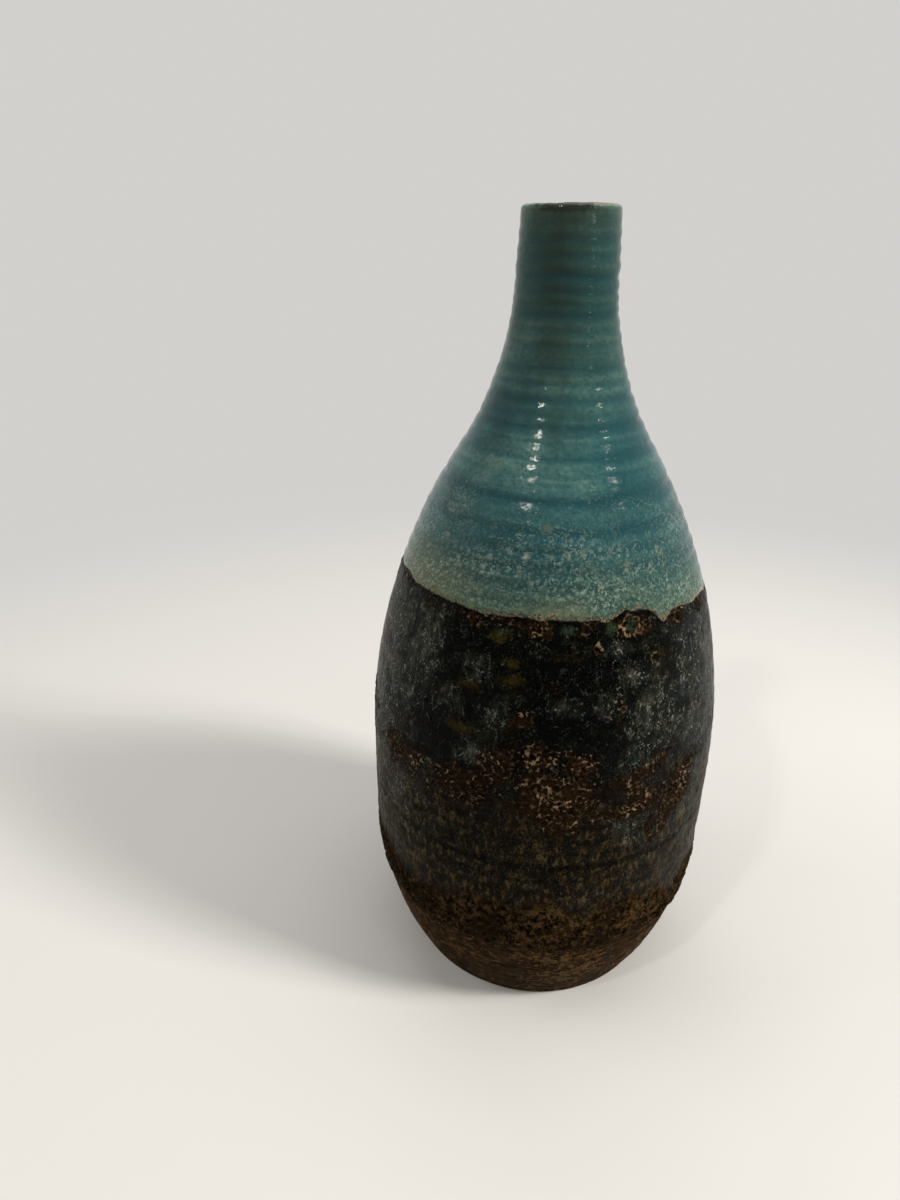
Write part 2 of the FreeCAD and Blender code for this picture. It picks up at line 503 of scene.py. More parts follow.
turquoise = {
    "columns": 384, "rows": 196, "lipRows": 16, "boreRows": 8, "bedRows": 28, "bedLipRows": 5,
    # how much thinner it gets towards its edge and from where, and where the relief fades at the lip
    "edgeThickness": 0.35, "edgeReach": 2.6, "lipReach": 5.0, "grooveShare": 1.35,
    # relief: slow and quick swelling, bead over the edge, fine ribs, and limits of it all
    "swell": 0.22, "swellFrom": 8, "quickSwell": 0.05, "bead": 0.14, "beadAt": 1.9, "beadWidth": 1.1,
    "ribDepth": 0.05, "ribSpacing": 2.9, "drift": 0.8, "quickDrift": 0.35,
    "setBack": 0.12, "deepest": 0.75,
    # raised specks: their zone, how rare the faint ones are, radius and how much larger some are
    "speckLevel": 217, "speckSpread": 22, "speckHeight": 0.12, "speckSpacing": 2.3,
    "speckRarity": 0.45, "speckRadius": 0.75, "speckMore": 0.5,
    # lip and bore, and how far the underside stands off the clay at the edge
    "crown": 0.86, "crownWander": 0.12, "wanderLevel": 346.0, "lipPower": 0.7, "boreWander": 0.25,
    "boreEase": 12.0, "underLift": 0.05, "underGap": 0.03, "darkLipReflectionLevel": 347.0,
    "bumpDepth": 0.3, "bumpShare": 0.5, "shine": 0.2,
    # finger grooves: height, depth, half width
    "grooves": [
        (342.5, 0.2, 1.6), (336.7, 0.3, 1.8), (331, 0.32, 1.8), (324.4, 0.44, 2), (319, 0.3, 1.5),
        (314.6, 0.26, 1.4), (310.7, 0.38, 1.7), (305.2, 0.26, 1.5), (300, 0.26, 1.6), (296, 0.18, 1.4),
        (291.9, 0.34, 1.7), (286.6, 0.3, 1.4), (281, 0.46, 1.8), (275.6, 0.32, 1.5), (270.8, 0.48, 1.9),
        (265.5, 0.28, 1.6), (260.7, 0.4, 2.1), (254.4, 0.26, 1.9), (250.2, 0.18, 1.6), (245.7, 0.56, 2),
        (240, 0.22, 1.8), (234.7, 0.42, 2.3), (228.2, 0.38, 2), (221.8, 0.5, 2.3), (215.6, 0.4, 2),
        (210, 0.3, 1.7),
    ],
    # thin brownish glaze, which on the front of the neck and in a band under the lip is a painted dark
    # reflection, warm stretches over the edge and the lip's dark stretches, a painted reflection: angle,
    # height, half width in degrees, half height, strength
    "thinAndReflectionZones": [
        (-10, 324, 28, 46, 1), (0, 300, 14, 40, 0.7), (14, 338, 18, 16, 0.8), (-10, 346, 70, 11, 1),
        (150, 346, 80, 9, 0.8), (-62, 300, 12, 40, 0.5), (-42, 262, 16, 14, 0.7), (-50, 240, 16, 12, 0.7),
        (-20, 232, 10, 6, 0.5), (118, 318, 18, 46, 0.9), (172, 300, 20, 50, 0.8), (-128, 325, 16, 40, 0.9),
        (140, 250, 18, 16, 0.6), (-160, 258, 16, 14, 0.6),
    ],
    "warmZones": [
        (-48, 212, 34, 13, 1), (2, 208, 18, 7, 0.8), (128, 212, 40, 10, 0.9), (-150, 210, 34, 9, 0.8),
    ],
    # painted dark reflection over the lip, widest at the front
    "darkLipReflection": [
        (-9, 349, 44, 8.5, 1.5), (-14, 347, 26, 11, 0.5), (118, 347, 24, 9, 0.7), (-150, 347, 28, 9, 0.7),
    ],
    "deep": (16, 64, 70), "body": (56, 98, 98), "crest": (90, 122, 112), "sage": (84, 104, 84),
    "sageDark": (46, 68, 54), "brown": (36, 50, 34), "speck": (166, 184, 164), "cream": (122, 126, 106),
    "fringe": (148, 120, 92), "khaki": (112, 114, 80), "lipDarkReflection": (32, 38, 26),
}


def fingerGrooves(angle, z):
    # each groove is a bell-shaped dip that drifts up and down and fades in and out round the pot
    points = onSurface(angle, z)
    drift = turquoise["drift"] * softNoise(points, 45, 21)
    drift += turquoise["quickDrift"] * softNoise(points, 14, 22)
    fade = 0.8 + 0.45 * softNoise(points, 32, 23)
    dip = np.zeros(z.shape)
    pool = np.zeros(z.shape)
    for level, depth, width in turquoise["grooves"]:
        dip += turquoise["grooveShare"] * depth * bell(z + drift, level, width)
        pool += depth * bell(z + drift, level, 1.5 * width)
    ribs = 0.5 + 0.5 * np.sin(2 * np.pi * (z + drift) / turquoise["ribSpacing"])
    return dip * fade, pool * fade, ribs * (0.6 + 0.4 * softNoise(points, 18, 24))


def turquoiseCoat():
    # a closed loop of rows: up the outside, over the lip, down the bore, and back along the clay to the edge
    columns = turquoise["columns"]
    angle = anglesOf(turquoise)
    line = waveringLine(angle, glazeLine)
    climb = np.linspace(0, 1, turquoise["rows"])[:, None]
    z = line + (lipSpring - line) * climb
    points = onSurface(angle, z)
    dip, pool, ribs = fingerGrooves(angle, z)
    above = z - line
    swell = turquoise["swell"] * layeredNoise(points, 26, 2, 25)
    swell = swell * smoothStep(0, turquoise["swellFrom"], above)
    swell += turquoise["quickSwell"] * layeredNoise(points, 4, 2, 26)
    thin = turquoise["edgeThickness"] * (1 - smoothStep(0, turquoise["edgeReach"], above))
    bead = turquoise["bead"] * bell(above, turquoise["beadAt"], turquoise["beadWidth"])
    nearLip = smoothStep(lipSpring - turquoise["lipReach"], lipSpring, z)
    # raised specks of the frothy zone over the line
    gap, value = nearestDot(points, turquoise["speckSpacing"], 31)
    zone = bell(z, turquoise["speckLevel"], turquoise["speckSpread"])
    frothShare = zone * (0.9 + 0.7 * layeredNoise(points, 22, 2, 32)) * smoothStep(1, 6, above)
    dome = 1 - (gap / (turquoise["speckRadius"] + turquoise["speckMore"] * value)) ** 2
    speck = smoothStep(0.0, 0.5, frothShare - turquoise["speckRarity"] * value) * np.clip(dome, 0, 1)
    relief = -dip * (1 - 0.7 * nearLip) + turquoise["ribDepth"] * ribs + swell * (1 - nearLip) - thin + bead
    relief = relief + turquoise["speckHeight"] * speck - turquoise["setBack"]
    coatR = outside(z) + np.maximum(relief, -turquoise["deepest"])
    # lip: half an ellipse whose crown wavers round the mouth
    lipTurn = np.linspace(0, math.pi, turquoise["lipRows"] + 2)[1:-1][:, None]
    wander = layeredNoise(onSurface(angle, np.full(columns, turquoise["wanderLevel"])), 9, 3, 41)
    crown = vase["lipRise"] * (turquoise["crown"] + turquoise["crownWander"] * np.clip(wander, -1, 1))
    bore = vase["boreRadius"] - vase["boreGlaze"]
    lipIn = bore + turquoise["boreWander"] * wander
    lipR, lipZ = lipCurve(coatR[-1], lipIn, crown, lipTurn, turquoise["lipPower"])
    boreZ = np.linspace(lipSpring, boreLow, turquoise["boreRows"])[:, None] + 0 * angle
    boreR = lipIn + (bore - lipIn) * smoothStep(lipSpring, lipSpring - turquoise["boreEase"], boreZ)
    # underside: back up the bore, over the clay lip and down to the line
    backZ = np.array([boreLow, lipSpring])
    backR = np.full(2, vase["boreRadius"])
    bedTurn = np.linspace(math.pi, 0, turquoise["bedLipRows"] + 2)[1:-1]
    bedR, bedZ = lipCurve(clayFace(lipSpring), vase["boreRadius"], clayLipRise, bedTurn)
    fall = np.linspace(1, 0, turquoise["bedRows"])[:, None]
    underZ = line + turquoise["underLift"] + (lipSpring - line) * fall
    underR = clayFace(underZ) + turquoise["underGap"] * (1 - fall)
    blocks = [(coatR, z), (lipR, lipZ), (boreR, boreZ), (backR, backZ), (bedR, bedZ), (underR, underZ)]
    radius, height = stacked(blocks, columns)
    # where the lip is worn pale and carries a painted bright reflection, and where it is painted dark as a
    # reflection
    lipTop = np.vstack([0 * z, smoothStep(0.15, 0.6, np.sin(lipTurn) + 0.25 * wander)])
    edge = smoothStep(lipSpring - vase["lipRise"], lipSpring + 0.4, z + 0.5 * wander)
    lipEdge = np.vstack([edge, np.ones((len(lipR), columns))])
    darkSide = spots(angle, np.full(columns, turquoise["darkLipReflectionLevel"]), turquoise["darkLipReflection"])
    farAbove = np.full((len(radius) - len(z), columns), 100.0)
    values = {
        "pool": pool, "ribs": ribs, "above": np.vstack([above, farAbove]), "speck": speck,
        "thin": spots(angle, z, turquoise["thinAndReflectionZones"]), "warm": spots(angle, z, turquoise["warmZones"]),
        "lip": lipTop, "lipDarkReflection": lipEdge * darkSide,
    }
    return turnedMesh("turquoise_coat", radius, height, values)


def turquoisePaint():
    paint = Paint("turquoise_glaze", turquoise, ground="crest")
    lay, step, noise, attribute = paint.lay, paint.step, paint.noise, paint.attribute
    up = paint.axis("Z")
    pool, above, thin = (attribute(label) for label in ("pool", "above", "thin"))
    cloud = noise(48, 4)
    mottle = noise(430, 4, (1, 1, 1.5), seed=3)
    band = noise(150, 3, (0.2, 0.2, 3.0), seed=5)
    drips = noise(230, 3, (1, 1, 0.12), seed=6)
    grit = noise(1000, 3, seed=10)
    # thin glaze on the ridges is greyer, thick glaze in the grooves deeper and bluer
    thick = pool * 2.6 + band * 0.6 + mottle * 0.7 + (cloud - 0.5) * 0.9 - attribute("ribs") * 0.1 - 0.2
    lay(step(thick, 0.35, 1.0), "body")
    lay(step(thick, 0.7, 1.6) * 0.85, "deep")
    # brown where the glaze is thin, and on the front of the neck and under the lip a painted dark reflection
    brownAndReflectionShare = step(thin + (cloud - 0.5) * 1.2 + (drips - 0.5) * 0.8 - pool * 0.4, 0.0, 1.2)
    lay(brownAndReflectionShare * 0.8, "brown")
    neckShade = step(up + (cloud - 0.5) * 0.04, 0.25, 0.31)
    lay(neckShade * 0.5, "brown")
    lay(neckShade * step(pool, 0.15, 0.5) * 0.5, "deep")
    # greyer green over the coat's edge, with warm stretches, then dark rings and pinholes
    sageShare = 1 - step(above + (cloud - 0.5) * 30 + (mottle - 0.5) * 14, 2.0, 30.0)
    sage = paint.mix(step(mottle * 0.6 + grit * 0.4, 0.42, 0.6), "sageDark", "sage")
    lay(sageShare * 0.85, sage)
    warm = step(attribute("warm") + (cloud - 0.5) * 0.8 + (mottle - 0.5) * 0.8, 0.2, 1.0)
    lay(warm * 0.5, "khaki")
    ringShare = step(pool + (mottle - 0.5) * 0.25, 0.08, 0.5)
    lay(ringShare * (sageShare * 0.35 + 0.3), "deep")
    pinholes = step(1 - noise(620, 4, seed=26, rough=0.6), 0.52, 0.64)
    lay(pinholes * 0.45, "deep")
    # pale specks: fine ones, crowded grains and a few big drops
    grainShare = (1 - step(up + (cloud - 0.5) * 0.05, 0.222, 0.262)) * step(above, 0.5, 5.0)
    grains = 1 - step(paint.cells(600, seed=2), 0.16, 0.4)
    grains = grains * step(noise(260, 3, seed=9), 0.42, 0.6) * grainShare
    crowd = step(noise(34, 4, (1, 1, 2.2), seed=23, rough=0.6), 0.44, 0.6)
    fine = step(grit, 0.53, 0.64) * grainShare * (crowd * 0.6 + 0.4)
    dots = paint.larger(attribute("speck"), grains)
    lay(fine * 0.3, "speck")
    lay(dots * (crowd * 0.34 + 0.1), "speck")
    bigDots = (1 - step(paint.cells(70, seed=5, wobble=0.7), 0.1, 0.2)) * step(mottle, 0.4, 0.55)
    lay(bigDots * grainShare * 0.55, "cream")
    # ragged rusty fringe where the coat ends
    fringe = 1 - step(above + (noise(330, 3, seed=11) - 0.5) * 9, 0.9, 2.4)
    fringe = fringe * (step(noise(60, 4, seed=25), 0.42, 0.6) * 0.5 + 0.4)
    lay(fringe, paint.mix(step(grit, 0.42, 0.6), "brown", "fringe"))
    # worn pale lip with a painted bright reflection, and its dark stretches, a painted dark reflection
    lipWearAndReflection = step(attribute("lip") + (mottle - 0.5) * 1.4, 0.35, 0.95)
    lay(lipWearAndReflection * 0.9, "cream")
    darkSide = attribute("lipDarkReflection")
    lipDarkReflection = step(darkSide + (noise(300, 8, seed=17, rough=0.75) - 0.5) * 3.4, 0.3, 1.15)
    lay(lipDarkReflection * step(darkSide, 0.02, 0.4) * 0.88, "lipDarkReflection")
    roughness = noise(90, 2, seed=13) * 0.12 + dots * 0.06 + 0.04
    relief = noise(300, 3, (1, 1, 1.5), seed=15) * 0.9 + dots * 1.1 + fine * 0.6 + mottle * 0.5
    return paint.finish(roughness, relief, turquoise)


# Dark crater coat and the crust under it

dark = {
    "columns": 560, "rows": 150, "low": 70.0, "high": 211.0, "bedRows": 10, "bedSunk": 0.0,
    # it sinks at the crust between two heights, and dives under the turquoise in two steps at its line
    "sink": 0.5, "sinkFrom": 86, "sinkTo": 74, "dive": 0.5, "diveFrom": -1.8, "diveTo": 0.2,
    "laterDive": 0.4, "laterFrom": 0.4, "laterTo": 2.2,
    # relief: slow and quick lumps, big and small froth with their rims, single craters, raised froth
    "lumps": 0.2, "quickLumps": 0.1, "frothSpacing": 4.4, "frothDepth": 0.55, "frothRim": 0.28,
    "smallSpacing": 2.5, "smallDepth": 0.25, "smallRim": 0.14, "craterShare": 0.8, "frothRise": 0.15,
    "belt": 0.25, "beltLevel": 133, "beltSpread": 22,  # most froth is in one belt round the belly
    "bumpDepth": 1.6, "bumpShare": 1.0, "shine": 0.02,
    # rings that show through: height, depth, half width
    "grooves": [
        (97.7, 0.45, 1.6), (104.5, 0.2, 1.8), (111.5, 0.25, 1.8), (118, 0.32, 1.8), (90.5, 0.25, 1.8),
        (128, 0.16, 2.2), (139.5, 0.2, 2.2), (153, 0.16, 2.4), (166, 0.2, 2.4), (179.5, 0.16, 2.4),
        (192, 0.2, 2.2), (84, 0.2, 1.6),
    ],
    # froth: angle, height, half width in degrees, half height, strength
    "froth": [
        (-23, 202, 6, 4.5, 1), (-2, 201, 5, 4, 1.1), (13, 202.5, 4, 3, 0.9), (30, 202, 8, 4.5, 1.2),
        (50, 201, 7, 4, 1), (17, 195, 2.5, 3, 0.9), (-52, 131, 7, 8, 0.8), (-41, 134, 9, 7, 0.7),
        (-1, 152, 10, 6, 1), (-20, 132, 8, 8, 0.9), (-12, 146, 8, 7, 0.8), (5, 137, 10, 9, 1.1),
        (12, 147, 7, 6, 0.9), (8, 125, 9, 9, 1.1), (31, 140, 7, 6, 0.8), (47, 127, 7, 8, 1),
        (51, 133, 5, 5, 0.8), (34, 127, 6, 6, 0.9), (40, 113, 7, 8, 1), (27, 123, 5, 5, 0.8),
        (-5, 167, 5, 4, 0.7), (23, 172, 5, 5, 0.6), (95, 138, 16, 12, 0.9), (128, 126, 14, 14, 1),
        (110, 200, 10, 4, 1), (160, 140, 18, 10, 1), (170, 200, 9, 4, 1), (-170, 122, 14, 10, 0.9),
        (-140, 138, 18, 12, 1), (-120, 201, 8, 4, 1), (-100, 128, 14, 10, 0.9), (-75, 140, 9, 8, 0.7),
        (150, 178, 9, 6, 0.6), (-110, 172, 8, 6, 0.6),
    ],
    # single open craters: angle, height, radius, depth
    "craters": [
        (28.8, 202.6, 3.6, 0.35), (34.8, 201.3, 2, 0.5), (17.1, 194.7, 1.7, 0.6), (23.1, 188.1, 1.9, 0.6),
        (49.6, 200.6, 2.2, 0.6), (37.6, 187.8, 2.4, 0.35), (-2, 201.2, 1.9, 0.6), (-23, 201.6, 1.6, 0.5),
        (-1.3, 151.6, 2.2, 0.6), (5.4, 137.7, 2, 0.6), (7.5, 130.6, 2.2, 0.6), (27.3, 123.7, 2.2, 0.5),
        (46.7, 126.2, 2, 0.6), (41.4, 120.2, 1.7, 0.5), (130, 199, 3, 0.7), (-140, 140, 2.6, 0.6),
        (165, 138, 2.6, 0.6), (-120, 199, 2.4, 0.6), (100, 137, 2.4, 0.6),
    ],
    # green and amber glaze, and milky haze with a painted sheen towards the sides: angle, height, half width
    # in degrees, half height, strength
    "green": [
        (28.8, 202.6, 2.3, 2.6, 1.2), (8, 202, 3.4, 3, 0.7), (22, 202, 2.6, 3.4, 0.8),
        (-14, 199, 2.4, 2.4, 0.6), (140, 200, 8, 3, 0.8),
    ],
    "amber": [
        (-14, 198, 5, 3.5, 1), (-9, 188, 4, 4, 1), (-9, 182, 5, 4, 1), (-23, 177, 5, 4, 0.9),
        (-23, 158, 7, 4, 1), (6, 192, 6, 4, 0.8), (38, 190, 5, 5, 0.7), (120, 184, 14, 6, 0.9),
        (-165, 180, 16, 7, 0.9), (-90, 186, 9, 6, 0.8),
    ],
    # milky haze; its big spots towards the sides are a painted sheen
    "milkAndSheen": [
        (-62, 168, 22, 38, 1.3), (-58, 110, 20, 34, 1.1), (-42, 186, 9, 16, 1), (62, 172, 16, 30, 1.1),
        (56, 110, 12, 24, 0.8), (-21, 184, 6, 6, 0.9), (-28, 168, 6, 8, 0.9), (-14, 168, 5, 6, 0.9),
        (-20, 148, 6, 5, 1), (24, 194, 6, 4, 1), (27, 182, 7, 7, 1), (23, 172, 7, 7, 0.9),
        (40, 165, 12, 16, 0.9), (55, 150, 14, 20, 0.8), (-50, 165, 16, 22, 0.8), (33, 148, 10, 9, 0.8),
        (8, 172, 8, 5, 0.6), (30, 112, 10, 9, 0.9), (100, 170, 22, 18, 0.9), (150, 160, 20, 16, 0.8),
        (-150, 166, 22, 18, 0.9), (-110, 150, 16, 16, 0.8), (-60, 110, 14, 14, 0.7),
    ],
    "black": (0, 1, 0), "olive": (13, 14, 2), "amberTone": (54, 47, 8), "milkTone": (178, 184, 172),
    "hazeAndSheen": (82, 84, 74), "blue": (36, 58, 60), "rust": (46, 30, 15), "rustPaleAndGlint": (206, 176, 140),
    "craterTone": (156, 132, 106), "greenTone": (66, 82, 62), "pitShade": (0, 0, 0), "belly": (26, 17, 3),
    "bellyPale": (104, 86, 52),
}


widest = vase["bellyRadius"] + vase["crustProud"] - 0.05  # no lower coat stands out further


def lumps(angle, z):
    # the relief that both lower coats share: slow lumps, ring grooves, froth and single craters
    points = onSurface(angle, z)
    drift = softNoise(points, 45, 51) + 0.5 * softNoise(points, 12, 52)
    dip = np.zeros(z.shape)
    for level, depth, width in dark["grooves"]:
        dip += depth * bell(z + drift, level, width)
    dip *= 0.8 + 0.5 * softNoise(points, 28, 53)
    cover = spots(angle, z, dark["froth"]) + 0.3 * layeredNoise(points, 9, 3, 54)
    cover = cover + dark["belt"] * bell(z, dark["beltLevel"], dark["beltSpread"])
    below = waveringLine(angle, glazeLine) - z
    cover = np.maximum(cover, bell(below, 2.5, 4.0) * (0.4 + 0.6 * layeredNoise(points, 9, 2, 57)))
    bowl, rim = froth(points, dark["frothSpacing"], 61, cover - 0.3)
    smallBowl, smallRim = froth(points, dark["smallSpacing"], 71, cover + 0.1)
    craterRelief, craterBowl, craterRim = craters(angle, z, dark["craters"])
    relief = dark["lumps"] * layeredNoise(points, 24, 2, 55) - dip
    relief += dark["quickLumps"] * layeredNoise(points, 5, 2, 56)
    relief += dark["frothRim"] * rim - dark["frothDepth"] * bowl
    relief += dark["smallRim"] * smallRim - dark["smallDepth"] * smallBowl
    relief += dark["craterShare"] * craterRelief + dark["frothRise"] * smoothStep(0.4, 0.9, cover)
    values = {
        "pitShade": np.clip(bowl + 0.5 * smallBowl + 0.6 * craterBowl, 0, 1),
        "rim": np.clip(0.5 * rim + 0.3 * smallRim + craterRim, 0, 1),
        "froth": smoothStep(0.15, 0.85, cover), "groove": dip,
    }
    values.update({label: spots(angle, z, dark[label]) for label in ("green", "amber", "milkAndSheen")})
    return relief, values


def coatGrid(part):
    # the angle of each column, and the height of each point of a coat's outside
    angle = anglesOf(part)
    return angle, np.linspace(part["low"], part["high"], part["rows"])[:, None] + 0 * angle


def beddedMesh(name, part, coatR, z, values):
    # a coat's outside, closed by a smooth bed of fewer rows that runs down on the clay or just in it
    bedZ = np.linspace(part["high"], part["low"], part["bedRows"])[:, None] + 0 * z[0]
    bedR = clayFace(bedZ) - part["bedSunk"]
    radius, height = stacked([(coatR, z), (bedR, bedZ)], part["columns"])
    return turnedMesh(name, radius, height, values)


def darkGlazeCoat():
    # the lumpy outside sinks at the crust and dives under the turquoise
    angle, z = coatGrid(dark)
    above = z - waveringLine(angle, glazeLine)
    relief, values = lumps(angle, z)
    under = smoothStep(dark["diveFrom"], dark["diveTo"], above)
    coatR = outside(z) + relief * (1 - under) - dark["dive"] * under
    coatR -= dark["laterDive"] * smoothStep(dark["laterFrom"], dark["laterTo"], above)
    coatR -= dark["sink"] * smoothStep(dark["sinkFrom"], dark["sinkTo"], z)
    return beddedMesh("dark_coat", dark, np.minimum(coatR, widest), z, values)


crust = {
    "columns": 760, "rows": 104, "low": 40.0, "high": 88.0, "bedRows": 6, "bedSunk": 0.4,
    # how far it sinks at the bare foot and, from a height on, under the dark coat
    "footSink": 0.75, "topSink": 0.9, "topSinkFrom": 80,
    # relief: grit, big and small froth with their rims, and how deep the band lies where it isn't crusty
    "grit": 0.3, "frothSpacing": 3.6, "frothDepth": 0.6, "frothRim": 0.45,
    "smallSpacing": 2.1, "smallDepth": 0.3, "smallRim": 0.2, "setBack": 0.35,
    # big blisters: angle, height, radius, rise
    "blisters": [
        (63, 63, 3, 1.4), (61, 57, 2.6, 0.8), (54, 54, 3.6, 1.2), (50, 49.5, 2.8, 0.9), (58, 50, 2.6, 1),
        (17, 60.4, 5, 0.8), (-44, 52, 4, 0.9), (-52, 58, 3.4, 1), (-58, 61, 3, 1), (-63, 66, 2.6, 0.8),
        (33, 62, 3.4, 0.7), (-8, 62, 3, 0.6), (100, 62, 4.4, 1.1), (125, 70, 3.6, 1), (152, 58, 4, 1),
        (-170, 66, 4.2, 1.1), (-140, 58, 3.4, 1), (-115, 68, 4, 1.1), (-90, 60, 3.4, 1),
    ],
    "crust": (42, 30, 13), "crustPale": (112, 86, 54), "crustHollowShade": (3, 2, 0),
}


def crustCoat():
    # the dark coat's lumps, with froth and blisters between two ragged lines
    angle, z = coatGrid(crust)
    points = onSurface(angle, z)
    foot, top = waveringLine(angle, crustFoot), waveringLine(angle, crustTop)
    relief, values = lumps(angle, z)
    heart = smoothStep(foot - 0.4, foot + 4, z) * smoothStep(top + 6, top - 5, z)
    cover = 0.75 * heart + 0.2 * layeredNoise(points, 8, 2, 84)
    bowl, rim = froth(points, crust["frothSpacing"], 83, cover)
    smallBowl, smallRim = froth(points, crust["smallSpacing"], 87, 0.8 * heart)
    blister = np.zeros(z.shape)
    for middle, level, size, rise in crust["blisters"]:
        gap = np.hypot(np.radians(turnGap(angle, middle)) * outside(z), z - level) / size
        blister = np.maximum(blister, rise * np.clip(1 - gap ** 2, 0, 1))
    blister *= 1 + 0.5 * softNoise(points, 2.5, 86)
    rough = crust["grit"] * layeredNoise(points, 5, 3, 85) + crust["frothRim"] * rim
    rough -= crust["frothDepth"] * bowl
    rough += crust["smallRim"] * smallRim - crust["smallDepth"] * smallBowl
    coatR = outside(z) - crust["setBack"] + 0.5 * relief + heart * (crust["setBack"] + rough + blister)
    topSink = crust["topSink"] * smoothStep(crust["topSinkFrom"], crust["high"], z)
    coatR -= crust["footSink"] * smoothStep(foot + 1.2, foot - 0.8, z) + topSink
    coatR = np.clip(coatR, clayFace(z) - 0.3, widest)
    values["pitShade"] = np.clip(values["pitShade"] + heart * (bowl + 0.7 * smallBowl), 0, 1)
    values["rim"] = np.clip(values["rim"] + heart * (rim + 0.6 * smallRim), 0, 1)
    values["crust"] = smoothStep(top + 6, top - 5, z)
    return beddedMesh("crust_coat", crust, coatR, z, values)


def craterPaint(name):
    # one recipe for both lower coats, black with olive clouds and amber pools
    paint = Paint(name, dark, crust, ground="black")
    lay, step, noise, attribute = paint.lay, paint.step, paint.noise, paint.attribute
    cloud = noise(42, 4)
    coarse = noise(190, 9, seed=5, rough=0.62)
    fine = noise(760, 8, seed=3, rough=0.65)
    grit = fine * 0.5 + coarse * 0.5
    lay(step(cloud * 0.5 + coarse * 0.5, 0.48, 0.62), "olive")
    amber = step(attribute("amber") * 0.8 + (grit - 0.5) * 2.5, 0.3, 0.9)
    lay(amber * 0.85, "amberTone")
    # the lower belly is browner, and its rings stay dark
    low = 1 - step(paint.axis("Z") + (cloud - 0.5) * 0.09 + (coarse - 0.5) * 0.05, 0.105, 0.145)
    lay(low * 0.9, "belly")
    blotch = noise(240, 10, (1, 1, 0.6), seed=16, warp=0.3, rough=0.78)
    scratch = noise(520, 8, (1, 1, 0.45), seed=21, warp=0.5, rough=0.75)
    lay(low * step(scratch * 0.6 + blotch * 0.4, 0.5, 0.58) * 0.7, "bellyPale")
    lay(low * step(1 - blotch, 0.5, 0.56) * 0.8, "black")
    groove = step(attribute("groove") + (grit - 0.5) * 0.3, 0.1, 0.28)
    lay(groove * 0.8, "black")
    # milky haze in ragged patches that run down, with a painted sheen in the big patches towards the sides,
    # thin veins along a folded noise, and fine flecks, partly painted glints
    milkAndSheenShare = step(attribute("milkAndSheen") + (cloud - 0.5) * 1.4 + (coarse - 0.5) * 1.2, 0.1, 1.0)
    patches = noise(125, 10, (1, 1, 0.5), seed=18, warp=0.6, rough=0.72)
    right = step(paint.axis("X") + (cloud - 0.5) * 0.06, -0.03, 0.02)
    streak = step(noise(640, 7, (1, 1, 0.3), seed=27, rough=0.7), 0.4, 0.6) * 0.75 + 0.25
    veil = step(patches - right * 0.02, 0.44, 0.58) * streak
    lay((milkAndSheenShare * 0.85 + 0.02) * veil * (1 - low * 0.42), "hazeAndSheen")
    # blue-green patches, stronger on the right half: the glaze's own colour with a painted sheen over it
    blueAndSheenShare = (milkAndSheenShare * 0.7 + 0.05) * step(1 - patches, 0.52, 0.62) * (1 - low * 0.6)
    lay(blueAndSheenShare * (right * 0.8 + 0.2), "blue")
    fold = noise(110, 9, (1, 1, 0.5), seed=9, warp=0.8, rough=0.6) - 0.5
    vein = (1 - step(abs(fold), 0.001, 0.016)) * step(grit, 0.48, 0.6)
    # fine flecks, partly painted glints
    flecksAndGlints = step(noise(900, 4, seed=10), 0.54, 0.68)
    flecksAndGlints = flecksAndGlints * step(noise(260, 4, seed=11), 0.48, 0.6)
    milkAndSheen = paint.larger(vein, flecksAndGlints * 0.6) * (milkAndSheenShare * 0.95 + 0.14)
    lay(milkAndSheen, "milkTone")
    specks = step(noise(1300, 3, seed=22), 0.56, 0.64)
    lay(specks * (milkAndSheenShare * 0.35 + low * 0.2 + 0.08), "hazeAndSheen")
    # froth: small burst bubbles with pale thin rims over a rusty ground, the rims brightened in patches into
    # painted glints
    bubble = paint.cells(560, seed=6, wobble=0.9)
    rustPatch = noise(130, 8, seed=24, rough=0.65)
    rustShare = step(attribute("froth") + (grit - 0.5) * 2.6 + (rustPatch - 0.5) * 4.0, 0.35, 1.0)
    lay(rustShare * 0.8, "rust")
    # patches where the pale rims brighten into painted glints
    glints = step(noise(150, 5, seed=15), 0.44, 0.6)
    frothWide = step(attribute("froth") + (coarse - 0.5) * 2.0, 0.2, 0.8)
    paleRim = step(bubble + (fine - 0.5) * 2.4 + attribute("rim") * 0.2, 0.72, 0.9)
    lay(paleRim * frothWide * (glints * 0.52 + 0.14), "rustPaleAndGlint")
    # single craters with their green pools, then the crust's crumbs with painted shade in their hollows, then
    # near-black painted shade in the pits of it all
    craterRim = step(attribute("rim") + (fine - 0.5) * 3.0, 0.8, 1.3)
    lay(craterRim * 0.55, "craterTone")
    green = step(attribute("green") + (grit - 0.5) * 2.0, 0.3, 0.8)
    lay(green * 0.75, "greenTone")
    crustShare = step(attribute("crust") + (grit - 0.5) * 2.2, 0.2, 0.75)
    crumb = noise(330, 9, seed=19, rough=0.74)
    crustTone = paint.mix(step(crumb + (cloud - 0.5) * 0.4, 0.47, 0.64), "crust", "crustPale")
    # painted shade in the crumbs' hollows
    crustTone = paint.mix(step(1 - crumb, 0.53, 0.59) * 0.9, crustTone, "crustHollowShade")
    lay(crustShare * 0.9, crustTone)
    rough = paint.larger(rustShare, crustShare)
